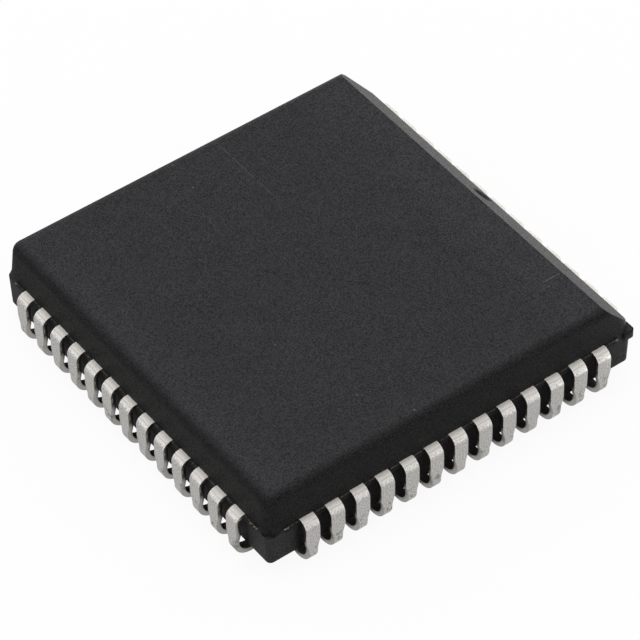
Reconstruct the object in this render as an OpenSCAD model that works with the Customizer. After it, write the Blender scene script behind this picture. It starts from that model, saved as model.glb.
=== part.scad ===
// Plastic leaded chip carrier with J leads on four sides.
// The origin is the centre of the seating plane, +Z is up,
// and the bevelled edge with lead 1 at its middle faces +Y.

/* [Lead pattern] */
// Distance between neighbouring leads
lead_pitch = 1.27; // [1.2:0.01:1.35]
// Leads on each side, an odd number so that lead 1 is in the middle
leads_per_side = 13; // [9:2:13]
// Body length past the middle of the last lead on a side
end_margin = 1.905; // [1.7:0.005:2.1]

/* [Body] */
// Height of the top face above the seating plane
total_h = 4.33; // [4.2:0.01:4.6]
// Height of the underside above the seating plane
standoff = 0.7; // [0.6:0.01:0.8]
// Draft of the upper half in degrees
draft_upper = 6; // [3:0.5:7]
// Draft of the lower half in degrees
draft_lower = 2; // [1:0.5:4]
// How far the lower half stands back at the parting line
lower_step = 0.01; // [0.01:0.01:0.06]
// Plan radius of the upright corners of the upper half
corner_r = 0.66; // [0.6:0.01:0.8]
// Plan radius of the upright corners of the lower half
lower_corner_r = 0.3; // [0.25:0.01:0.5]
// Radius along the edges of the top face
top_edge_r = 0.5; // [0.2:0.01:0.51]
// Radius along the edges of the underside
bottom_edge_r = 0.1; // [0.05:0.01:0.15]

/* [Orientation marks] */
// Width of the bevel along the top edge over lead 1
bevel_w = 1.2; // [0.9:0.01:1.4]
// How far the bevel drops over that width
bevel_drop = 1.31; // [1:0.01:1.4]
// Plan size of the chamfered corner beside that edge
corner_chamfer = 1; // [0.9:0.01:1.22]
// Diameter of the dimple in the bevel
dimple_d = 1; // [0.6:0.05:1.1]
// Depth of the dimple
dimple_depth = 0.2; // [0.1:0.01:0.35]
// Place of the dimple across the bevel, from 0 at the top to 1 at the foot
dimple_place = 0.7; // [0.5:0.01:0.8]

/* [Parting line] */
// How far the rim between the leads stands out
rim_out = 0.09; // [0.05:0.01:0.13]
// Distance from the middle of the last lead to the end of the rim
rim_past_lead = 1.05; // [0.6:0.01:1.2]
// How far the stub left at the mould gate stands out past the walls
gate_out = 0.07; // [0.03:0.01:0.12]
// Length of the gate stub along each wall, up to their corner
gate_run = 0.5; // [0.35:0.01:0.58]
// Height of the gate stub
gate_h = 0.42; // [0.3:0.01:0.6]
// Plan radius of the gate stub's outer corner
gate_r = 0.15; // [0.1:0.01:0.3]
// Plan radius of the bead of resin left at the opposite vent corner
vent_r = 0.48; // [0.4:0.01:0.6]
// Height of the vent bead
vent_h = 0.48; // [0.4:0.01:0.7]
// How far the vent bead stands out of its corner
vent_out = 0.09; // [0.05:0.01:0.2]

/* [Leads] */
// Thickness of the lead frame
lead_t = 0.25; // [0.2:0.01:0.28]
// Height of the top of the lead frame above the seating plane
frame_top = 2.59; // [2.45:0.01:2.7]
// Distance from the body wall to the outside of a lead
lead_reach = 0.495; // [0.45:0.005:0.57]
// Width of a lead from the body down to its taper
shoulder_w = 0.7; // [0.66:0.01:0.81]
// Width of a lead at its foot
foot_w = 0.44; // [0.33:0.01:0.53]
// Height of the lower end of the taper
taper_low = 0.95; // [0.7:0.01:1.05]
// Height of the upper end of the taper
taper_high = 1.45; // [1.15:0.01:1.65]
// Outer radius of the shoulder bend
shoulder_r = 0.44; // [0.3:0.01:0.44]
// Outer radius of the foot
foot_r = 0.83; // [0.7:0.01:0.95]
// How far the foot turns past its lowest point in degrees
foot_wrap = 80; // [60:1:88]

/* [Underside] */
// Width of the lip outside the trough
trough_lip = 0.3; // [0.2:0.01:0.4]
// Width of the trough that the lead tips turn into
trough_w = 1.15; // [1:0.01:1.4]
// Depth of the trough
trough_depth = 0.45; // [0.3:0.01:0.6]
// Trough length past the middle of the last lead
trough_past_lead = 0.55; // [0.4:0.01:0.7]
// Diameter of the marks left by the ejector pins
ejector_d = 1.8; // [1:0.1:2.5]
// Depth of the ejector marks
ejector_depth = 0.05; // [0.03:0.01:0.1]
// Distance of the ejector marks from the middle lines
ejector_place = 5.4; // [3:0.1:5.8]

/* [Lead frame inside] */
// Side of the square paddle under the die
paddle_w = 7.6; // [6.6:0.1:8]
// How far the paddle lies below the leads
paddle_drop = 0.3; // [0.2:0.01:0.4]
// Gap between the paddle and the inner ends of the leads
tip_gap = 0.45; // [0.3:0.01:0.6]
// Gap between neighbouring inner ends
finger_gap = 0.25; // [0.2:0.01:0.3]
// Distance from the last inner end to the corner of their square
tip_corner = 0.9; // [0.8:0.01:1.2]
// Straight length of a lead inside the body wall
anchor_l = 0.9; // [0.7:0.01:1]
// Width of the tie bars that hold the paddle
tie_w = 0.4; // [0.3:0.01:0.5]
// Length of the slope that steps a tie bar down to the paddle
tie_slope_l = 0.6; // [0.4:0.01:0.8]
// Resin over the outer ends of the tie bars
tie_cover = 0.3; // [0.2:0.01:0.5]

/* [Die and wires] */
// Side of the square die
die_w = 5.2; // [4.4:0.1:6]
// Thickness of the die
die_t = 0.38; // [0.34:0.01:0.5]
// Thickness of the adhesive under the die
attach_t = 0.04; // [0.03:0.01:0.06]
// How far the adhesive squeezes out past the die
attach_past = 0.2; // [0.1:0.01:0.3]
// Diameter of a bond wire
wire_d = 0.033; // [0.025:0.001:0.038]
// Diameter of the neck of a wire over its ball
neck_d = 0.046; // [0.042:0.001:0.055]
// Diameter of the ball at the die end of a wire
ball_d = 0.08; // [0.06:0.01:0.1]
// Height of the ball
ball_h = 0.03; // [0.02:0.01:0.05]
// Height of the wire loop over the die
loop_h = 0.22; // [0.15:0.01:0.3]
// Distance from the edge of the die to the bond pads
pad_inset = 0.12; // [0.08:0.01:0.2]
// Distance from the corner of the die to the last bond pad
pad_corner = 0.4; // [0.3:0.05:0.6]
// Distance from the inner end of a lead to the wire on it
stitch_inset = 0.3; // [0.2:0.01:0.4]

/* [Hidden] */
$fn = 48;
// Overlap that keeps cuts clear of the faces they pass
eps = 0.01;

sides = 4;
lead_count = sides * leads_per_side;
mid_lead = (leads_per_side - 1) / 2;
last_lead = mid_lead * lead_pitch;

body_half = last_lead + end_margin;
frame_low = frame_top - lead_t;
lower_half = body_half - lower_step;
lead_out = body_half + lead_reach;

upper_lean = tan(draft_upper);
top_inset = (total_h - frame_top) * upper_lean;
top_half = body_half - top_inset;
// The top edge is no rounder than the draft leaves room for at the corners.
edge_r = min(top_edge_r, (corner_r - eps - top_inset) / (1 / cos(draft_upper) - upper_lean));

bevel_tilt = atan(bevel_w / bevel_drop);
chamfer_run = sqrt(2) * body_half - corner_chamfer / sqrt(2);

tip_ring = paddle_w / 2 + tip_gap;
tip_span = tip_ring - tip_corner;
tip_pitch = tip_span / mid_lead;
tip_w = tip_pitch - finger_gap;
knee = body_half - anchor_l;

paddle_top = frame_top - paddle_drop;
tie_end = chamfer_run - tie_cover;
attach_top = paddle_top + attach_t;
die_top = attach_top + die_t;
pad_span = die_w / 2 - pad_corner;
pad_pitch = pad_span / mid_lead;
pad_out = die_w / 2 - pad_inset;

function two_digits(i) = i < 10 ? str("0", i) : str(i);
function lead_name(i) = str("lead_", two_digits(i));
// Leads count anticlockwise from the middle of the bevelled side.
function lead_slot(i) = (i - 1 + mid_lead) % lead_count;
function lead_side(i) = floor(lead_slot(i) / leads_per_side);
function lead_step(i) = lead_slot(i) % leads_per_side - mid_lead;
// Middle of a lead's fanned stretch at a distance x from the centre line.
function finger_mid(step, x) =
    step * (tip_pitch + (lead_pitch - tip_pitch) * (x - tip_ring) / (knee - tip_ring));

// Turns a shape drawn for the +X side to a side of the package.
module on_side(s) {
    rotate([0, 0, 90 * (s + 1)])
        children();
}

// Raises a profile drawn in X and Z and runs it along Y, centred.
module run_along_y(length) {
    rotate([90, 0, 0])
        linear_extrude(length, center = true)
            children();
}

// Square block with the profile as its four walls and round corners.
// The profile is drawn outwards from the axes of the corners.
module drafted_block(axis, low, high) {
    translate([-axis, -axis, low])
        cube([2 * axis, 2 * axis, high - low]);
    for (s = [0 : sides - 1])
        on_side(s) {
            translate([axis, 0, 0])
                run_along_y(2 * axis)
                    children();
            translate([axis, axis, 0])
                rotate_extrude(angle = 90)
                    children();
        }
}

module upper_wall() {
    round_z = total_h - edge_r;
    round_x = corner_r - (round_z - frame_top) * upper_lean - edge_r / cos(draft_upper);
    polygon([
        [0, frame_low],
        [corner_r, frame_low],
        [corner_r, frame_top],
        [round_x + edge_r * cos(draft_upper), round_z + edge_r * sin(draft_upper)],
        [round_x, round_z],
        [round_x, total_h],
        [0, total_h]
    ]);
    intersection() {
        translate([round_x, round_z])
            circle(edge_r);
        translate([round_x, round_z])
            square(edge_r);
    }
}

module lower_wall() {
    lean = tan(draft_lower);
    round_z = standoff + bottom_edge_r;
    round_x = lower_corner_r - (frame_low - round_z) * lean - bottom_edge_r / cos(draft_lower);
    polygon([
        [0, frame_low],
        [lower_corner_r, frame_low],
        [round_x + bottom_edge_r * cos(draft_lower), round_z - bottom_edge_r * sin(draft_lower)],
        [round_x, round_z],
        [round_x, standoff],
        [0, standoff]
    ]);
    intersection() {
        translate([round_x, round_z])
            circle(bottom_edge_r);
        translate([round_x, round_z - bottom_edge_r])
            square(bottom_edge_r);
    }
}

// Thin ledge of resin that the mould leaves between the leads.
module parting_rim() {
    length = 2 * (last_lead + rim_past_lead);
    for (s = [0 : sides - 1])
        on_side(s)
            translate([body_half - rim_out, -length / 2, frame_low])
                cube([2 * rim_out, length, lead_t]);
}

// Square-cornered stub of resin where the mould gate broke off.
module gate_stub() {
    side = gate_run + gate_out;
    translate([body_half - gate_run, body_half - gate_run, frame_top - gate_h])
        linear_extrude(gate_h) {
            square([side, side - gate_r]);
            square([side - gate_r, side]);
            translate([side - gate_r, side - gate_r])
                circle(gate_r);
        }
}

// Flat-topped bead of resin at the mould vent.
module vent_bead() {
    reach = (body_half - corner_r) * sqrt(2) + corner_r + vent_out - vent_r;
    rotate([0, 0, 225])
        translate([reach, 0, frame_low])
            intersection() {
                sphere(vent_r);
                translate([-vent_r, -vent_r, -vent_h / 2])
                    cube([2 * vent_r, 2 * vent_r, vent_h]);
            }
}

module bevel_cut() {
    length = 2 * body_half;
    rotate([0, 0, 90])
        translate([top_half, 0, total_h - bevel_drop])
            rotate([0, -bevel_tilt, 0])
                translate([0, -length / 2, -bevel_drop])
                    cube([body_half, length, 3 * bevel_drop]);
}

// Shallow ball-shaped hollow in the bevel, over lead 1.
module dimple_cut() {
    ball_r = (pow(dimple_d / 2, 2) + pow(dimple_depth, 2)) / (2 * dimple_depth);
    rotate([0, 0, 90])
        translate([top_half - bevel_w * (1 - dimple_place), 0, total_h - bevel_drop * dimple_place])
            rotate([0, 90 - bevel_tilt, 0])
                translate([0, 0, ball_r - dimple_depth])
                    sphere(ball_r);
}

module chamfer_cut() {
    rotate([0, 0, 135])
        translate([chamfer_run, -body_half, standoff - eps])
            cube([body_half, 2 * body_half, total_h]);
}

// Trough in the underside that the lead tips turn up into.
module trough_cut() {
    length = 2 * (last_lead + trough_past_lead);
    outer = lower_half - trough_lip;
    for (s = [0 : sides - 1])
        on_side(s)
            translate([outer - trough_w, -length / 2, standoff - eps])
                cube([trough_w, length, trough_depth + eps]);
}

module ejector_cut() {
    for (s = [0 : sides - 1])
        on_side(s)
            translate([ejector_place, ejector_place, standoff - eps])
                cylinder(h = ejector_depth + eps, d = ejector_d);
}

module body_form() {
    difference() {
        union() {
            drafted_block(body_half - corner_r, frame_low, total_h)
                upper_wall();
            drafted_block(lower_half - lower_corner_r, standoff, frame_low)
                lower_wall();
            parting_rim();
            gate_stub();
            vent_bead();
        }
        bevel_cut();
        dimple_cut();
        chamfer_cut();
        trough_cut();
        ejector_cut();
    }
}

module body() {
    color([0.17, 0.17, 0.175])
        difference() {
            body_form();
            for (i = [1 : lead_count])
                on_side(lead_side(i))
                    lead_finger(lead_step(i), lead_out);
            paddle_form();
            attach_form();
            die_form();
            wire_forms();
        }
}

// Flat of a lead from its inner end, which fans out to the lead pitch.
module lead_finger(step, reach) {
    tip = finger_mid(step, tip_ring);
    mid = finger_mid(step, knee);
    translate([0, 0, frame_low])
        linear_extrude(lead_t)
            polygon([
                [tip_ring, tip - tip_w / 2],
                [knee, mid - shoulder_w / 2],
                [reach, mid - shoulder_w / 2],
                [reach, mid + shoulder_w / 2],
                [knee, mid + shoulder_w / 2],
                [tip_ring, tip + tip_w / 2]
            ]);
}

// Part of a ring of the lead's thickness between two angles.
module lead_arc(r, from, to) {
    steps = 4;
    far = 2 * r;
    intersection() {
        difference() {
            circle(r);
            circle(r - lead_t);
        }
        polygon(concat(
            [[0, 0]],
            [for (k = [0 : steps]) let (a = from + (to - from) * k / steps) far * [cos(a), sin(a)]]
        ));
    }
}

// Side view of a lead outside the body: shoulder, drop and curled foot.
module lead_side_view() {
    bend_x = lead_out - shoulder_r;
    translate([body_half, frame_low])
        square([bend_x - body_half, lead_t]);
    translate([bend_x, frame_top - shoulder_r])
        lead_arc(shoulder_r, 0, 90);
    translate([lead_out - lead_t, foot_r])
        square([lead_t, frame_top - shoulder_r - foot_r]);
    translate([lead_out - foot_r, foot_r])
        lead_arc(foot_r, -90 - foot_wrap, 0);
}

// Front view of a lead: wide shoulder, taper and narrow foot.
module lead_front_view() {
    polygon([
        [-shoulder_w / 2, frame_top + eps],
        [-shoulder_w / 2, taper_high],
        [-foot_w / 2, taper_low],
        [-foot_w / 2, -eps],
        [foot_w / 2, -eps],
        [foot_w / 2, taper_low],
        [shoulder_w / 2, taper_high],
        [shoulder_w / 2, frame_top + eps]
    ]);
}

module lead(i) {
    mid = lead_step(i) * lead_pitch;
    color([0.78, 0.78, 0.76])
        on_side(lead_side(i)) {
            lead_finger(lead_step(i), body_half);
            translate([0, mid, 0])
                intersection() {
                    run_along_y(shoulder_w)
                        lead_side_view();
                    translate([lead_out - 2 * foot_r, 0, 0])
                        rotate([90, 0, 90])
                            linear_extrude(2 * foot_r + eps)
                                lead_front_view();
                }
        }
}

// Tie bar seen from the side, with its slope rising out of the paddle.
module tie_side_view() {
    slope_start = paddle_w / sqrt(2) - tie_w;
    slope_end = slope_start + tie_slope_l;
    root = lead_t / 2;
    root_run = root * tie_slope_l / paddle_drop;
    polygon([
        [slope_start - root_run, paddle_top - root],
        [slope_start + root_run, paddle_top - root],
        [slope_end, frame_low],
        [tie_end, frame_low],
        [tie_end, frame_top],
        [slope_end, frame_top]
    ]);
}

module paddle_form() {
    translate([-paddle_w / 2, -paddle_w / 2, paddle_top - lead_t])
        cube([paddle_w, paddle_w, lead_t]);
    for (s = [0 : sides - 1])
        rotate([0, 0, 90 * s + 45])
            run_along_y(tie_w)
                tie_side_view();
}

module die_paddle() {
    color([0.72, 0.52, 0.34])
        paddle_form();
}

module attach_form() {
    side = die_w + 2 * attach_past;
    translate([-side / 2, -side / 2, paddle_top])
        cube([side, side, attach_t]);
}

module die_attach() {
    color([0.8, 0.78, 0.7])
        attach_form();
}

module die_form() {
    translate([-die_w / 2, -die_w / 2, attach_top])
        cube([die_w, die_w, die_t]);
}

module die() {
    color([0.35, 0.37, 0.42])
        die_form();
}

// Straight piece of wire between two points.
module wire_run(from, to) {
    d = to - from;
    length = norm(d);
    translate(from)
        rotate([0, acos(d[2] / length), atan2(d[1], d[0])])
            cylinder(h = length, d = wire_d);
}

// Wire from a bond pad on the die up, over and down to the middle of a lead.
module wire_form(step) {
    pad = [pad_out, step * pad_pitch, die_top];
    peak = pad + [0, 0, loop_h];
    stitch_x = tip_ring + stitch_inset;
    stitch = [stitch_x, finger_mid(step, stitch_x), frame_top];
    translate(pad) {
        cylinder(h = ball_h, d = ball_d);
        cylinder(h = loop_h + wire_d, d = neck_d);
    }
    intersection() {
        wire_run(peak, stitch + (stitch - peak) / norm(stitch - peak) * ball_d);
        translate([0, -body_half, frame_top])
            cube([body_half, 2 * body_half, total_h]);
    }
}

module wire_forms() {
    for (i = [1 : lead_count])
        on_side(lead_side(i))
            wire_form(lead_step(i));
}

module bond_wires() {
    color("gold")
        wire_forms();
}

body();
die_paddle();
die_attach();
die();
bond_wires();
for (i = [1 : lead_count])
    lead(i);
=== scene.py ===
"""Looks of a plastic leaded chip carrier: resin body, tin-plated J leads and the parts sealed inside."""

import math

import bpy
from mathutils import Matrix, Vector


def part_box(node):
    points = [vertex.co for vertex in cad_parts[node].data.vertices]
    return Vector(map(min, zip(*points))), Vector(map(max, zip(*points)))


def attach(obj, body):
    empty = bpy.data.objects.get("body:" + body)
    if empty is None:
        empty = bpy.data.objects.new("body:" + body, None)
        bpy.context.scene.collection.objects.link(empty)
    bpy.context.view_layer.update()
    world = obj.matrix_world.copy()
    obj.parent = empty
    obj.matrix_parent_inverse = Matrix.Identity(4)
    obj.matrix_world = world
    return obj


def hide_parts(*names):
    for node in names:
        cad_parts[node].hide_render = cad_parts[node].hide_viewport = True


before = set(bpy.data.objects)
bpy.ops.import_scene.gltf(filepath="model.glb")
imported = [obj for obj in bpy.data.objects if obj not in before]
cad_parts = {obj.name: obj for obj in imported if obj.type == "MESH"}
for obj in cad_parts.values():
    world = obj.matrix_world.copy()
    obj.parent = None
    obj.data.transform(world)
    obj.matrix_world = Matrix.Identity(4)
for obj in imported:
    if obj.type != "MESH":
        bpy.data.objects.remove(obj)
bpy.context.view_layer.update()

MM = 0.001

# Camera of the photograph: it looks down on the corner between the front and right sides
CAMERA_AIM = Vector((-0.445, 0.490, 0.628)) * MM
CAMERA_AZIMUTH = math.radians(54.158)
CAMERA_ELEVATION = math.radians(46.068)
CAMERA_ROLL = math.radians(-1.226)
CAMERA_DISTANCE = 171.86 * MM
CAMERA_LENS = 224.98
CAMERA_SENSOR = 36.0

# Levels of the body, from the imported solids
TOP_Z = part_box("body")[1].z
FRAME_TOP_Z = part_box("lead_01")[1].z
SHEET = 0.25 * MM
FRAME_LOW_Z = FRAME_TOP_Z - SHEET
BODY_HALF = 9.525 * MM
RIM_OUT = 0.09 * MM
RIM_END = 8.67 * MM

# Leads: rounding of the stamped edges, and how flat faces are told from bends
LEAD_EDGE_ROUND = 0.02 * MM
LEAD_EDGE_SEGMENTS = 2
SHARP_EDGE = math.radians(40)
FLAT_FACE = math.radians(1.5)
MERGE_DISTANCE = 0.0005 * MM

# Light tent: bright panels left and right of the camera, a glowing backdrop,
# and a floor that glows beside the part
TENT_SIDE_AXIS = (0.585, 0.811, 0)
TENT_BACK_AXIS = (-0.811, 0.585, 0)
TENT_TOP_LEVEL = 0.72
TENT_LEFT_LEVEL = 1.32
TENT_RIGHT_LEVEL = 1.12
TENT_PANEL_EDGE = 0.05
TENT_PANEL_FULL = 0.6
TENT_GLOW = 1.1
TENT_GLOW_EDGE = 0.7
TENT_GLOW_FULL = 0.92
SOFTBOX_SIDE = 320 * MM
SOFTBOX_HEIGHT = 350 * MM
SOFTBOX_WATTS = 0.26
FLOOR_SIZE = 900 * MM
FLOOR_GREY = (0.9, 0.9, 0.895, 1)
FLOOR_WHITE_SEEN = 0.92
FLOOR_GLOW_SHARE = 0.95
FLOOR_GLOW_FRONT = 0.55
FLOOR_GLOW_BACK = 1.7
FLOOR_DARK_UNDER = 8.9 * MM
FLOOR_FULL_BESIDE = 9.6 * MM
FLOOR_GLOW_START_Y = 9.8 * MM
FLOOR_GLOW_FULL_Y = 12 * MM


# Shader nodes

def add(tree, kind, inputs=None, **settings):
    """Adds a node with its settings, and sets or links its inputs by name or number."""
    made = tree.nodes.new(kind)
    for name, value in settings.items():
        setattr(made, name, value)
    for name, value in (inputs or {}).items():
        if isinstance(value, bpy.types.NodeSocket):
            tree.links.new(value, made.inputs[name])
        else:
            made.inputs[name].default_value = value
    return made


def calc(tree, operation, first, second=0.0, clamp=False):
    """Result of a sum on two values, each a number or a socket."""
    made = add(tree, "ShaderNodeMath", {0: first, 1: second}, operation=operation, use_clamp=clamp)
    return made.outputs[0]


def ramp(tree, value, low, high, from_low=0.0, from_high=1.0, smooth=True):
    """Carries a value from one range to another, held at the ends."""
    kind = "SMOOTHSTEP" if smooth else "LINEAR"
    made = add(tree, "ShaderNodeMapRange",
               {"Value": value, "From Min": from_low, "From Max": from_high, "To Min": low, "To Max": high},
               interpolation_type=kind)
    return made.outputs["Result"]


def noise(tree, position, size, detail=2.0, roughness=0.5):
    """Soft random pattern with patches of about the given size in metres."""
    made = add(tree, "ShaderNodeTexNoise",
               {"Vector": position, "Scale": 1.0 / size, "Detail": detail, "Roughness": roughness})
    return made.outputs["Fac"]


def blend(tree, share, first, second):
    """Mix of two colours by a share from 0 to 1."""
    made = add(tree, "ShaderNodeMix", {0: share, 6: first, 7: second}, data_type="RGBA")
    return made.outputs[2]


def object_position(tree):
    """Place on the part, in metres."""
    return add(tree, "ShaderNodeTexCoord").outputs["Object"]


def new_group(name, inputs, outputs):
    """Empty node group with the named sockets. Returns it with its input and output nodes."""
    group = bpy.data.node_groups.new(name, "ShaderNodeTree")
    for socket, kind in inputs.items():
        group.interface.new_socket(socket, in_out="INPUT", socket_type=kind)
    for socket, kind in outputs.items():
        group.interface.new_socket(socket, in_out="OUTPUT", socket_type=kind)
    return group, group.nodes.new("NodeGroupInput"), group.nodes.new("NodeGroupOutput")


def use_group(tree, group, inputs):
    """Places a node group in a material."""
    made = tree.nodes.new("ShaderNodeGroup")
    made.node_tree = group
    for name, value in inputs.items():
        if isinstance(value, bpy.types.NodeSocket):
            tree.links.new(value, made.inputs[name])
        else:
            made.inputs[name].default_value = value
    return made


def new_material(name):
    """Material with a lone Principled shader. Returns it with its tree and shader."""
    made = bpy.data.materials.new(name)
    made.use_nodes = True
    tree = made.node_tree
    tree.nodes.clear()
    shader = add(tree, "ShaderNodeBsdfPrincipled")
    add(tree, "ShaderNodeOutputMaterial", {"Surface": shader.outputs["BSDF"]})
    return made, tree, shader


# Shared effects

def make_grain_group():
    """Fine grain of a spark-eroded mould or a rolled sheet: pits, cloudy tone and rare bright specks."""
    group, given, result = new_group(
        "surface_grain",
        {"Position": "NodeSocketVector", "Grain size": "NodeSocketFloat"},
        {"Height": "NodeSocketFloat", "Tone": "NodeSocketFloat", "Specks": "NodeSocketFloat"},
    )
    position, size = given.outputs["Position"], given.outputs["Grain size"]
    fine_scale = calc(group, "DIVIDE", 1.0, size)
    pits = add(group, "ShaderNodeTexNoise", {"Vector": position, "Scale": fine_scale, "Detail": 3.0})
    craters = add(group, "ShaderNodeTexVoronoi",
                  {"Vector": position, "Scale": calc(group, "MULTIPLY", fine_scale, 0.8)})
    cloud = add(group, "ShaderNodeTexNoise",
                {"Vector": position, "Scale": calc(group, "MULTIPLY", fine_scale, 0.05), "Detail": 4.0})
    spots = add(group, "ShaderNodeTexNoise",
                {"Vector": position, "Scale": calc(group, "MULTIPLY", fine_scale, 0.6), "Detail": 1.0})
    crater_height = calc(group, "MULTIPLY", craters.outputs["Distance"], 0.4)
    height = calc(group, "ADD", pits.outputs["Fac"], crater_height)
    group.links.new(height, result.inputs["Height"])
    fine_tone = ramp(group, pits.outputs["Fac"], 0.0, 1.0, 0.3, 0.7)
    tone = calc(group, "ADD", calc(group, "MULTIPLY", fine_tone, 0.85),
                calc(group, "MULTIPLY", cloud.outputs["Fac"], 0.15))
    group.links.new(tone, result.inputs["Tone"])
    group.links.new(ramp(group, spots.outputs["Fac"], 0.0, 1.0, 0.72, 0.8), result.inputs["Specks"])
    return group


def make_scratch_group():
    """Straight scratch along +X of a position in millimetres, strong at its start and fading out."""
    group, given, result = new_group(
        "straight_scratch",
        {"Position": "NodeSocketVector", "Length": "NodeSocketFloat", "Width": "NodeSocketFloat"},
        {"Mask": "NodeSocketFloat"},
    )
    length, width = given.outputs["Length"], given.outputs["Width"]
    place = add(group, "ShaderNodeSeparateXYZ", {"Vector": given.outputs["Position"]})
    along, across, depth = place.outputs["X"], place.outputs["Y"], place.outputs["Z"]
    near = ramp(group, calc(group, "ABSOLUTE", across), 1.0, 0.0, 0.0, width)
    started = calc(group, "GREATER_THAN", along, 0.0)
    share = calc(group, "DIVIDE", along, length)
    fading = ramp(group, share, 1.0, 0.0, 0.25, 1.0)
    on_face = calc(group, "LESS_THAN", calc(group, "ABSOLUTE", depth), 0.05)
    skips = add(group, "ShaderNodeTexNoise",
                {"Vector": given.outputs["Position"], "Scale": 2.2, "Detail": 3.0})
    broken = ramp(group, skips.outputs["Fac"], 0.25, 1.0, 0.38, 0.6)
    mask = near
    for part in (started, fading, on_face, broken):
        mask = calc(group, "MULTIPLY", mask, part)
    group.links.new(mask, result.inputs["Mask"])
    return group


GRAIN = make_grain_group()
SCRATCH = make_scratch_group()


# Resin of the body

RESIN_DARK = (0.0, 0.0, 0.0, 1)
RESIN_LIGHT = (0.024, 0.023, 0.0228, 1)
# Pale tones of dust bloom mixed with painted light on upward faces and the lower corners
DUST_AND_PAINTED_LIGHT_LOW = (0.012, 0.012, 0.0135, 1)
DUST_AND_PAINTED_LIGHT_HIGH = (0.068, 0.068, 0.0745, 1)
RESIN_RUBBED = (0.11, 0.11, 0.115, 1)
RESIN_FLASH_DARK = (0.07, 0.065, 0.055, 1)
# Pale flash colour, also used for the painted highlight along the rim's upper edge
RESIN_FLASH_AND_HIGHLIGHT = (0.24, 0.225, 0.185, 1)
RESIN_GRAIN = 0.05 * MM
RESIN_EDGE = 0.2 * MM
RESIN_ROUGH_DARK = 0.58
RESIN_ROUGH_LIGHT = 0.42
RESIN_IOR = 1.17
RESIN_RELIEF = 0.8
RESIN_RELIEF_DEPTH = 0.015 * MM
GRAIN_SPECK_SHARE = 0.2
FLASH_IOR = 1.25
# Upward faces grow paler: dust bloom together with painted light
TOP_FACING_SLOPE_FULL = math.radians(1)
TOP_FACING_SLOPE_NONE = math.radians(46)
DUST_AND_PAINTED_LIGHT_TOP = 0.56
DUST_FRONT_MORE = 0.25
DUST_FRONT_FULL_Y = -9.3 * MM
DUST_FRONT_NONE_Y = -6.5 * MM
DUST_BACK_MORE = 0.35
DUST_BACK_NONE_Y = 4.5 * MM
DUST_BACK_FULL_Y = 8.1 * MM
# Painted light on the lower corners beyond the leads, which makes them paler than the shaded gaps between
# the leads
PAINTED_LIGHT_CORNER = 0.5
PAINTED_LIGHT_CORNER_START = 7.95 * MM
PAINTED_LIGHT_CORNER_FULL = 8.3 * MM
DUST_UNDER = 0.35
DUST_UNDER_NONE = math.radians(120)
DUST_UNDER_FULL = math.radians(160)
# Pale rim line: partly flash, partly a painted highlight of the rim's upper edge
RIM_LINE_WIDTH = 0.04 * MM
RIM_LINE_SHARE = 0.3

# Scratches on the top face: start in millimetres, direction in degrees, length, width, strength
SCRATCHES = [
    ((-8.9, 1.23), 0.4, 7.5, 0.035, 0.6),
    ((-8.5, -2.39), 1.0, 5.5, 0.05, 0.14),
    ((-7.3, -1.69), -4.0, 6.5, 0.06, 0.12),
    ((-7.9, -3.67), 1.5, 7.0, 0.05, 0.1),
    ((6.40, 8.03), -90.0, 1.3, 0.05, 0.9),
    ((6.72, 7.53), -92.0, 0.9, 0.04, 0.5),
    ((6.40, -8.77), 25.0, 0.8, 0.05, 0.3),
    ((-8.0, -6.37), 38.0, 0.9, 0.06, 0.3),
]

# Bright specks on the top face: place in millimetres and radius
SPECKS = [
    ((8.86, -1.59), 0.07),
    ((6.78, -2.93), 0.05),
    ((-2.15, 5.71), 0.045),
    ((-7.24, -1.20), 0.06),
    ((-8.90, -1.09), 0.06),
    ((2.45, -3.92), 0.05),
]


def scratch_mask(tree, position, place, turn, length, width):
    """Mask of one scratch on the top face."""
    start = (place[0] * MM, place[1] * MM, TOP_Z)
    placed = add(tree, "ShaderNodeMapping",
                 {"Vector": position, "Location": start, "Rotation": (0, 0, math.radians(turn)),
                  "Scale": (MM, MM, MM)}, vector_type="TEXTURE")
    made = use_group(tree, SCRATCH,
                     {"Position": placed.outputs["Vector"], "Length": length, "Width": width})
    return made.outputs["Mask"]


def speck_mask(tree, position, place, radius):
    """Mask of one small chip on the top face."""
    centre = (place[0] * MM, place[1] * MM, TOP_Z)
    away = add(tree, "ShaderNodeVectorMath", {0: position, 1: centre}, operation="DISTANCE")
    return ramp(tree, away.outputs["Value"], 1.0, 0.0, 0.3 * radius * MM, radius * MM)


def top_face_wear(tree, position):
    """Scratches and chips of the top face as one mask."""
    worn = 0.0
    for start, turn, length, width, strength in SCRATCHES:
        mask = scratch_mask(tree, position, start, turn, length, width)
        worn = calc(tree, "MAXIMUM", worn, calc(tree, "MULTIPLY", mask, strength))
    for spot, radius in SPECKS:
        worn = calc(tree, "MAXIMUM", worn, speck_mask(tree, position, spot, radius))
    return worn


def facing_slope(tree, normal):
    """Slope of the surface as an angle: nothing where it faces up, a half turn where it faces down."""
    return calc(tree, "ARCCOSINE", add(tree, "ShaderNodeSeparateXYZ", {"Vector": normal}).outputs["Z"])


def along_wall(tree, place):
    """Distance along a wall from its middle, the same on all four sides."""
    out_x = calc(tree, "ABSOLUTE", place.outputs["X"])
    out_y = calc(tree, "ABSOLUTE", place.outputs["Y"])
    return calc(tree, "MINIMUM", out_x, out_y)


def out_of_wall(tree, place):
    """Distance from the middle planes of the part to its nearer wall."""
    out_x = calc(tree, "ABSOLUTE", place.outputs["X"])
    out_y = calc(tree, "ABSOLUTE", place.outputs["Y"])
    return calc(tree, "MAXIMUM", out_x, out_y)


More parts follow.
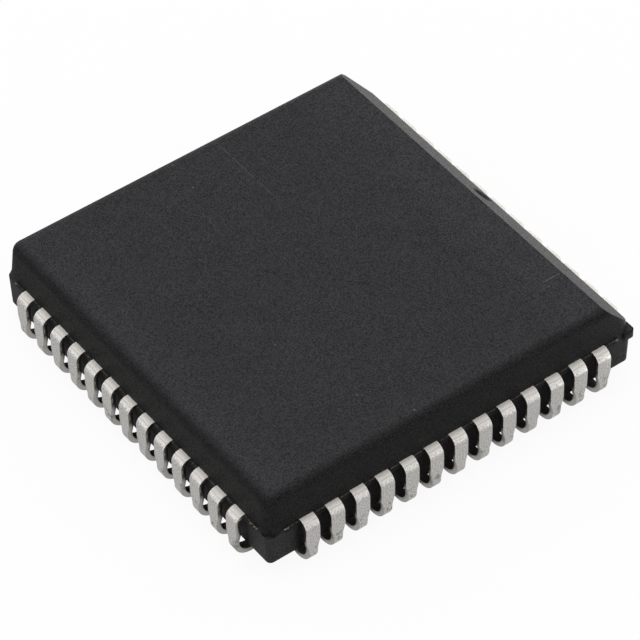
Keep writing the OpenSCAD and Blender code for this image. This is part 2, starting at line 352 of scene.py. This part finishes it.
def dust_and_painted_light_mask(tree, position, place, normal):
    """Pale mask: dull bloom mixed with painted light on faces that look up, stronger to the front and
    bevel; painted light on the lower corners beyond the leads, where they stand open, but not in the gaps
    between the leads; dust on the underside.
    """
    slope = facing_slope(tree, normal)
    # Faces that look up: dust bloom together with painted light
    on_top = ramp(tree, slope, DUST_AND_PAINTED_LIGHT_TOP, 0.0, TOP_FACING_SLOPE_FULL, TOP_FACING_SLOPE_NONE, smooth=False)
    front = ramp(tree, place.outputs["Y"], DUST_FRONT_MORE, 0.0, DUST_FRONT_FULL_Y, DUST_FRONT_NONE_Y)
    back = ramp(tree, place.outputs["Y"], 0.0, DUST_BACK_MORE, DUST_BACK_NONE_Y, DUST_BACK_FULL_Y)
    patchy = ramp(tree, noise(tree, position, 1.6 * MM, 3.0), 0.95, 1.05, 0.3, 0.7)
    bloom = calc(tree, "MULTIPLY", calc(tree, "ADD", calc(tree, "ADD", front, back), 1.0), patchy)
    low = calc(tree, "LESS_THAN", place.outputs["Z"], FRAME_LOW_Z)
    # Lower corners beyond the leads: painted light, while the gaps between the leads stay dark as shade
    corner = ramp(tree, along_wall(tree, place), 0.0, PAINTED_LIGHT_CORNER, PAINTED_LIGHT_CORNER_START, PAINTED_LIGHT_CORNER_FULL)
    under = ramp(tree, slope, 0.0, DUST_UNDER, DUST_UNDER_NONE, DUST_UNDER_FULL)
    lower = calc(tree, "MULTIPLY", low, calc(tree, "MAXIMUM", corner, under))
    return calc(tree, "MAXIMUM", calc(tree, "MULTIPLY", on_top, bloom), lower)


def rim_line_mask(tree, position, place):
    """Ragged pale line along the upper edge of the rim between the leads: partly flash, partly a painted
    highlight of that edge.
    """
    outward = calc(tree, "GREATER_THAN", out_of_wall(tree, place), BODY_HALF + 0.5 * RIM_OUT)
    upper = ramp(tree, place.outputs["Z"], 0.0, 1.0,
                 FRAME_TOP_Z - RIM_LINE_WIDTH, FRAME_TOP_Z - 0.5 * RIM_LINE_WIDTH)
    on_rim = calc(tree, "LESS_THAN", along_wall(tree, place), RIM_END)
    ragged = ramp(tree, noise(tree, position, 0.16 * MM, 3.0), 0.1, 1.0, 0.4, 0.62)
    on_edge = calc(tree, "MULTIPLY", outward, upper)
    return calc(tree, "MULTIPLY", on_edge, calc(tree, "MULTIPLY", on_rim, ragged))


def make_resin():
    """Dark moulding resin with fine grain, dull bloom mixed with painted light on upward faces and the
    lower corners, a few scratches and a pale line along the rim that is partly flash and partly a painted
    highlight.
    """
    made, tree, shader = new_material("moulding_resin")
    position = object_position(tree)
    place = add(tree, "ShaderNodeSeparateXYZ", {"Vector": position})
    grain = use_group(tree, GRAIN, {"Position": position, "Grain size": RESIN_GRAIN})
    rounded = add(tree, "ShaderNodeBevel", {"Radius": RESIN_EDGE}, samples=8).outputs["Normal"]
    worn = top_face_wear(tree, position)

    bare = blend(tree, grain.outputs["Tone"], RESIN_DARK, RESIN_LIGHT)
    dust_and_lit_tone = blend(tree, grain.outputs["Tone"], DUST_AND_PAINTED_LIGHT_LOW, DUST_AND_PAINTED_LIGHT_HIGH)
    # Pale tone: dust bloom with painted light on upward faces, and painted light on the lower corners
    colour = blend(tree, dust_and_painted_light_mask(tree, position, place, rounded), bare, dust_and_lit_tone)
    specks = calc(tree, "MULTIPLY", grain.outputs["Specks"], GRAIN_SPECK_SHARE)
    colour = blend(tree, specks, colour, RESIN_RUBBED)
    colour = blend(tree, worn, colour, RESIN_RUBBED)
    rim_line = rim_line_mask(tree, position, place)
    # Pale line on the rim's upper edge: partly flash, partly painted highlight
    colour = blend(tree, calc(tree, "MULTIPLY", rim_line, RIM_LINE_SHARE), colour, RESIN_FLASH_AND_HIGHLIGHT)
    tree.links.new(colour, shader.inputs["Base Color"])

    roughness = ramp(tree, grain.outputs["Tone"], RESIN_ROUGH_DARK, RESIN_ROUGH_LIGHT, smooth=False)
    tree.links.new(roughness, shader.inputs["Roughness"])
    shader.inputs["IOR"].default_value = RESIN_IOR
    bump = add(tree, "ShaderNodeBump",
               {"Height": grain.outputs["Height"], "Normal": rounded,
                "Strength": RESIN_RELIEF, "Distance": RESIN_RELIEF_DEPTH})
    tree.links.new(bump.outputs["Normal"], shader.inputs["Normal"])
    return made


def make_flash():
    """Pale broken resin of the thin flakes that the mould leaves."""
    made, tree, shader = new_material("resin_flash")
    position = object_position(tree)
    grain = use_group(tree, GRAIN, {"Position": position, "Grain size": RESIN_GRAIN})
    patches = ramp(tree, noise(tree, position, 0.1 * MM, 2.0), 0.0, 1.0, 0.35, 0.65)
    tree.links.new(blend(tree, patches, RESIN_FLASH_DARK, RESIN_FLASH_AND_HIGHLIGHT), shader.inputs["Base Color"])
    roughness = ramp(tree, grain.outputs["Tone"], 0.75, 0.55, smooth=False)
    tree.links.new(roughness, shader.inputs["Roughness"])
    shader.inputs["IOR"].default_value = FLASH_IOR
    return made


# Tin plating of the leads

TIN_BRIGHT = (0.98, 0.955, 0.92, 1)
TIN_DULL = (0.48, 0.463, 0.437, 1)
# Dark tone of the foot smudges, also used for the painted crease shade at the folds of the bend
TIN_SMUDGE_AND_CREASE_SHADE = (0.22, 0.21, 0.19, 1)
# Painted shade: darker tin on the cut sides, which mirror the dark body
TIN_CUT_SIDE_SHADE = (0.5, 0.48, 0.45, 1)
TIN_CUT_ROUGHNESS = 0.2
# Painted shade: dark tin in the hollow of the curled foot under the body
TIN_CURL_SHADE = (0.16, 0.15, 0.135, 1)
CURL_FULL_Z = 1.0 * MM
CURL_NONE_Z = 1.5 * MM
TIN_ROUGH_DULL = 0.46
TIN_ROUGH_BRIGHT = 0.32
TIN_SHOULDER_ROUGHNESS = 0.8
# Painted light: the shoulder of a lead, which faces up, is made brighter tin
SHOULDER_PAINTED_LIGHT_SHARE = 0.8
SHOULDER_FULL = math.radians(35)
SHOULDER_NONE = math.radians(60)
# Painted crease shade: darker lines at the folds of the bend
FOLD_LINE_SHADE_SHARE = 0.2
SMUDGE_SHARE = 0.6
SMUDGE_ROUGHER = 0.2
TIN_GRAIN = 0.06 * MM
FOLD_LINES_Z = (FRAME_TOP_Z - 0.075 * MM, FRAME_TOP_Z - 0.45 * MM)
FOLD_LINE_WIDTH = 0.028 * MM
SMUDGE_LOW_Z = 0.5 * MM
SMUDGE_HIGH_Z = 1.45 * MM


def fold_lines(tree, position, height):
    """Lines across the bend of a lead at its two folds: painted crease shade in the colour, and shallow
    grooves in the relief.
    """
    uneven = calc(tree, "SUBTRACT", noise(tree, position, 0.4 * MM), 0.5)
    wobble = calc(tree, "MULTIPLY", uneven, 0.06 * MM)
    level = calc(tree, "ADD", height, wobble)
    lines = 0.0
    for line_z in FOLD_LINES_Z:
        away = calc(tree, "ABSOLUTE", calc(tree, "SUBTRACT", level, line_z))
        lines = calc(tree, "MAXIMUM", lines, ramp(tree, away, 1.0, 0.0, 0.0, FOLD_LINE_WIDTH))
    return lines


def foot_smudges(tree, position, height):
    """Dark smudges low on the drop of a lead."""
    patches = ramp(tree, noise(tree, position, 0.28 * MM, 3.0), 0.0, 1.0, 0.56, 0.68)
    above = ramp(tree, height, 0.0, 1.0, SMUDGE_LOW_Z, SMUDGE_LOW_Z + 0.2 * MM)
    below = ramp(tree, height, 1.0, 0.0, SMUDGE_HIGH_Z - 0.4 * MM, SMUDGE_HIGH_Z)
    return calc(tree, "MULTIPLY", patches, calc(tree, "MULTIPLY", above, below))


def cut_sides(tree, place, normal):
    """Mask of the two stamped sides of a lead, which face along its row."""
    facing = add(tree, "ShaderNodeSeparateXYZ", {"Vector": normal})
    side_row = calc(tree, "GREATER_THAN", calc(tree, "ABSOLUTE", place.outputs["X"]),
                    calc(tree, "ABSOLUTE", place.outputs["Y"]))
    along_row = ramp(tree, side_row, calc(tree, "ABSOLUTE", facing.outputs["X"]),
                     calc(tree, "ABSOLUTE", facing.outputs["Y"]), smooth=False)
    return ramp(tree, along_row, 0.0, 1.0, 0.5, 0.8)


def inner_curl(tree, height, facing):
    """Mask of the hollow side of the curled foot, which faces up below the body, where painted shade
    darkens it.
    """
    upward = add(tree, "ShaderNodeSeparateXYZ", {"Vector": facing}).outputs["Z"]
    low = ramp(tree, height, 1.0, 0.0, CURL_FULL_Z, CURL_NONE_Z)
    return calc(tree, "MULTIPLY", low, ramp(tree, upward, 0.0, 1.0, 0.05, 0.4))


def make_tin():
    """Satin tin plate with smudges towards the foot, darker lines at the folds of the bend as painted
    crease shade over shallow grooves, painted light on the upward shoulder, and painted shade on the cut
    sides and in the hollow of the curled foot.
    """
    made, tree, shader = new_material("tin_plate")
    position = object_position(tree)
    place = add(tree, "ShaderNodeSeparateXYZ", {"Vector": position})
    height = place.outputs["Z"]
    grain = use_group(tree, GRAIN, {"Position": position, "Grain size": TIN_GRAIN})
    lines = fold_lines(tree, position, height)
    smudge = foot_smudges(tree, position, height)

    facing = add(tree, "ShaderNodeNewGeometry").outputs["Normal"]
    cut = cut_sides(tree, place, facing)
    shoulder = ramp(tree, facing_slope(tree, facing), 1.0, 0.0, SHOULDER_FULL, SHOULDER_NONE)

    colour = blend(tree, grain.outputs["Tone"], TIN_DULL, TIN_BRIGHT)
    # Painted light: brighter tin on the upward shoulder
    colour = blend(tree, calc(tree, "MULTIPLY", shoulder, SHOULDER_PAINTED_LIGHT_SHARE), colour, TIN_BRIGHT)
    # Painted shade: darker tin on the cut sides of the lead
    colour = blend(tree, cut, colour, TIN_CUT_SIDE_SHADE)
    # Painted shade in the hollow of the curled foot under the body
    colour = blend(tree, inner_curl(tree, height, facing), colour, TIN_CURL_SHADE)
    # Painted crease shade: darker lines at the two folds of the bend
    colour = blend(tree, calc(tree, "MULTIPLY", lines, FOLD_LINE_SHADE_SHARE), colour, TIN_SMUDGE_AND_CREASE_SHADE)
    colour = blend(tree, calc(tree, "MULTIPLY", smudge, SMUDGE_SHARE), colour, TIN_SMUDGE_AND_CREASE_SHADE)
    tree.links.new(colour, shader.inputs["Base Color"])
    shader.inputs["Metallic"].default_value = 1.0
    rough = ramp(tree, grain.outputs["Tone"], TIN_ROUGH_DULL, TIN_ROUGH_BRIGHT, smooth=False)
    rough = ramp(tree, shoulder, rough, TIN_SHOULDER_ROUGHNESS, smooth=False)
    rough = ramp(tree, cut, rough, TIN_CUT_ROUGHNESS, smooth=False)
    rough = calc(tree, "ADD", rough, calc(tree, "MULTIPLY", smudge, SMUDGE_ROUGHER))
    tree.links.new(rough, shader.inputs["Roughness"])

    relief = calc(tree, "SUBTRACT", calc(tree, "MULTIPLY", grain.outputs["Height"], 0.25), lines)
    bump = add(tree, "ShaderNodeBump", {"Height": relief, "Strength": 0.3, "Distance": 0.02 * MM})
    tree.links.new(bump.outputs["Normal"], shader.inputs["Normal"])
    return made


# Parts sealed in the body

def make_inner(name, dark, light, grain_size, metallic, rough_low, rough_high):
    """Grained material for a part that the resin hides."""
    made, tree, shader = new_material(name)
    grain = use_group(tree, GRAIN, {"Position": object_position(tree), "Grain size": grain_size * MM})
    tree.links.new(blend(tree, grain.outputs["Tone"], dark, light), shader.inputs["Base Color"])
    tree.links.new(ramp(tree, grain.outputs["Tone"], rough_high, rough_low, smooth=False),
                   shader.inputs["Roughness"])
    shader.inputs["Metallic"].default_value = metallic
    bump = add(tree, "ShaderNodeBump",
               {"Height": grain.outputs["Height"], "Strength": 0.15, "Distance": 0.1 * grain_size * MM})
    tree.links.new(bump.outputs["Normal"], shader.inputs["Normal"])
    return made


def dress(name, material):
    """Gives a CAD node its material."""
    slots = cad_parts[name].data.materials
    slots.clear()
    slots.append(material)


# Rounded leads

def pick(piece):
    """Selects one object alone."""
    bpy.ops.object.select_all(action="DESELECT")
    piece.select_set(True)
    bpy.context.view_layer.objects.active = piece


def rounded_lead(node, material):
    """Copy of a lead with its stamped edges rounded, in place of the sharp one."""
    piece = bpy.data.objects.new("tin_" + node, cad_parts[node].data.copy())
    bpy.context.scene.collection.objects.link(piece)
    pick(piece)
    bpy.ops.mesh.customdata_custom_splitnormals_clear()
    bpy.ops.object.mode_set(mode="EDIT")
    bpy.ops.mesh.select_all(action="SELECT")
    bpy.ops.mesh.remove_doubles(threshold=MERGE_DISTANCE)
    bpy.ops.mesh.mark_sharp(clear=True)
    bpy.ops.mesh.dissolve_limited(angle_limit=FLAT_FACE)
    bpy.ops.object.mode_set(mode="OBJECT")
    edges = piece.modifiers.new("stamped_edges", "BEVEL")
    edges.width = LEAD_EDGE_ROUND
    edges.segments = LEAD_EDGE_SEGMENTS
    edges.limit_method = "ANGLE"
    edges.angle_limit = SHARP_EDGE
    bpy.ops.object.modifier_apply(modifier=edges.name)
    bpy.ops.object.shade_smooth_by_angle(angle=SHARP_EDGE)
    piece.data.materials.clear()
    piece.data.materials.append(material)
    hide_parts(node)
    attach(piece, "root")
    return piece


# Flakes of flash

FLAKE_LENGTH = 0.2 * MM
FLAKE_WIDTH = 0.07 * MM
FLAKE_THICKNESS = 0.03 * MM
FLAKE_RAGGED = 0.018 * MM

# Flakes at the ends of the rim: side in quarter turns from the front, place along it in mm, length share
FLAKES = [
    (0, 8.80, 1.0),
    (0, 8.48, 0.6),
    (0, -8.60, 0.9),
    (1, -8.52, 1.3),
    (1, -8.15, 0.7),
    (1, 8.62, 1.2),
    (1, 8.28, 0.7),
    (2, 8.60, 1.0),
    (2, -8.55, 0.8),
    (3, 8.58, 0.9),
    (3, -8.66, 1.1),
]


def flash_flake(number, side, along, share, material):
    """Thin ragged flake of resin that hangs on the upper edge of the rim."""
    bpy.ops.object.select_all(action="DESELECT")
    bpy.ops.mesh.primitive_grid_add(x_subdivisions=7, y_subdivisions=3, size=1)
    piece = bpy.context.object
    piece.name = "flash_flake_%02d" % number
    bpy.ops.object.mode_set(mode="EDIT")
    bpy.ops.mesh.select_all(action="SELECT")
    bpy.ops.transform.resize(value=(share * FLAKE_LENGTH, FLAKE_WIDTH, 1))
    bpy.ops.transform.vertex_random(offset=FLAKE_RAGGED, uniform=1.0, seed=number)
    bpy.ops.transform.translate(value=(along * MM, -BODY_HALF - RIM_OUT, FRAME_TOP_Z))
    bpy.ops.transform.rotate(value=math.radians(90 * side), orient_axis="Z", center_override=(0, 0, 0))
    bpy.ops.object.mode_set(mode="OBJECT")
    skin = piece.modifiers.new("thickness", "SOLIDIFY")
    skin.thickness = FLAKE_THICKNESS
    bpy.ops.object.modifier_apply(modifier=skin.name)
    piece.data.materials.append(material)
    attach(piece, "root")


# Studio

def make_floor():
    """Pale floor with the part's shadow, white to the camera, that glows in reflections beside the part."""
    bpy.ops.object.select_all(action="DESELECT")
    bpy.ops.mesh.primitive_plane_add(size=FLOOR_SIZE)
    floor = bpy.context.object
    floor.name = "floor"
    paper = bpy.data.materials.new("white_paper")
    paper.use_nodes = True
    tree = paper.node_tree
    tree.nodes.clear()
    path = add(tree, "ShaderNodeLightPath").outputs
    place = add(tree, "ShaderNodeSeparateXYZ", {"Vector": object_position(tree)})
    mirrored = calc(tree, "MAXIMUM", path["Is Glossy Ray"], path["Is Transmission Ray"])
    beside = ramp(tree, out_of_wall(tree, place), 0.0, FLOOR_GLOW_SHARE,
                  FLOOR_DARK_UNDER, FLOOR_FULL_BESIDE)
    share = calc(tree, "MAXIMUM", calc(tree, "MULTIPLY", path["Is Camera Ray"], FLOOR_WHITE_SEEN),
                 calc(tree, "MULTIPLY", mirrored, beside))
    behind = ramp(tree, place.outputs["Y"], FLOOR_GLOW_FRONT, FLOOR_GLOW_BACK,
                  FLOOR_GLOW_START_Y, FLOOR_GLOW_FULL_Y)
    glow = ramp(tree, path["Is Camera Ray"], behind, 1.0, smooth=False)
    matt = add(tree, "ShaderNodeBsdfDiffuse", {"Color": FLOOR_GREY})
    white = add(tree, "ShaderNodeEmission", {"Strength": glow})
    mixed = add(tree, "ShaderNodeMixShader", {0: share, 1: matt.outputs[0], 2: white.outputs[0]})
    add(tree, "ShaderNodeOutputMaterial", {"Surface": mixed.outputs[0]})
    floor.data.materials.append(paper)


def along_axis(tree, direction, axis):
    """Share of a direction that runs along an axis."""
    made = add(tree, "ShaderNodeVectorMath", {0: direction, 1: axis}, operation="DOT_PRODUCT")
    return made.outputs["Value"]


def make_sky():
    """Surroundings as a white light tent, full white where the camera sees them."""
    world = bpy.data.worlds.new("light_tent")
    bpy.context.scene.world = world
    world.use_nodes = True
    tree = world.node_tree
    tree.nodes.clear()
    direction = add(tree, "ShaderNodeTexCoord").outputs["Generated"]
    across = along_axis(tree, direction, TENT_SIDE_AXIS)
    behind = along_axis(tree, direction, TENT_BACK_AXIS)
    left = ramp(tree, across, TENT_LEFT_LEVEL, TENT_TOP_LEVEL, -TENT_PANEL_FULL, -TENT_PANEL_EDGE)
    right = ramp(tree, across, TENT_TOP_LEVEL, TENT_RIGHT_LEVEL, TENT_PANEL_EDGE, TENT_PANEL_FULL)
    panels = calc(tree, "MAXIMUM", left, right)
    glow = ramp(tree, behind, 0.0, TENT_GLOW, TENT_GLOW_EDGE, TENT_GLOW_FULL)
    level = calc(tree, "ADD", panels, glow)
    seen = add(tree, "ShaderNodeLightPath").outputs["Is Camera Ray"]
    unseen = calc(tree, "SUBTRACT", 1.0, seen)
    level = calc(tree, "ADD", seen, calc(tree, "MULTIPLY", level, unseen))
    sky = add(tree, "ShaderNodeBackground", {"Strength": level})
    add(tree, "ShaderNodeOutputWorld", {"Surface": sky.outputs[0]})


def add_softbox(name, height, side, watts):
    """Square soft light straight above the part, kept out of reflections."""
    light = bpy.data.lights.new(name, "AREA")
    light.shape = "SQUARE"
    light.size = side
    light.energy = watts
    lamp = bpy.data.objects.new(name, light)
    bpy.context.scene.collection.objects.link(lamp)
    lamp.location = (0, 0, height)
    lamp.visible_glossy = False


def make_camera():
    """Camera at the photograph's place, with its slight roll."""
    data = bpy.data.cameras.new("photo_camera")
    data.sensor_width = CAMERA_SENSOR
    data.lens = CAMERA_LENS
    data.clip_start = 1 * MM
    data.clip_end = 10000 * MM
    camera = bpy.data.objects.new("photo_camera", data)
    bpy.context.scene.collection.objects.link(camera)
    flat = math.cos(CAMERA_ELEVATION)
    back = Vector((math.sin(CAMERA_AZIMUTH) * flat,
                   -math.cos(CAMERA_AZIMUTH) * flat,
                   math.sin(CAMERA_ELEVATION)))
    level = Vector((math.cos(CAMERA_AZIMUTH), math.sin(CAMERA_AZIMUTH), 0))
    right = Matrix.Rotation(CAMERA_ROLL, 3, back) @ level
    turn = Matrix((right, back.cross(right), back)).transposed()
    camera.matrix_world = Matrix.Translation(CAMERA_AIM + back * CAMERA_DISTANCE) @ turn.to_4x4()
    bpy.context.scene.camera = camera


# Assembly

bpy.context.scene.view_settings.view_transform = "Standard"
make_camera()
make_floor()
make_sky()
add_softbox("top_softbox", SOFTBOX_HEIGHT, SOFTBOX_SIDE, SOFTBOX_WATTS)

dress("body", make_resin())
INNER = {
    "die_paddle": ("copper_sheet", (0.42, 0.22, 0.13, 1), (0.62, 0.36, 0.22, 1), 0.05, 1.0, 0.3, 0.5),
    "die_attach": ("silver_adhesive", (0.4, 0.39, 0.36, 1), (0.62, 0.6, 0.56, 1), 0.03, 0.0, 0.5, 0.8),
    "die": ("polished_silicon", (0.06, 0.065, 0.08, 1), (0.12, 0.125, 0.15, 1), 0.2, 0.6, 0.1, 0.2),
    "bond_wires": ("gold_wire", (0.78, 0.5, 0.14, 1), (0.9, 0.64, 0.24, 1), 0.02, 1.0, 0.18, 0.3),
}
for inner, look in INNER.items():
    dress(inner, make_inner(*look))

tin = make_tin()
for lead in sorted(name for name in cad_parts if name.startswith("lead_")):
    rounded_lead(lead, tin)

flash = make_flash()
for number, (side, along, share) in enumerate(FLAKES, 1):
    flash_flake(number, side, along, share, flash)
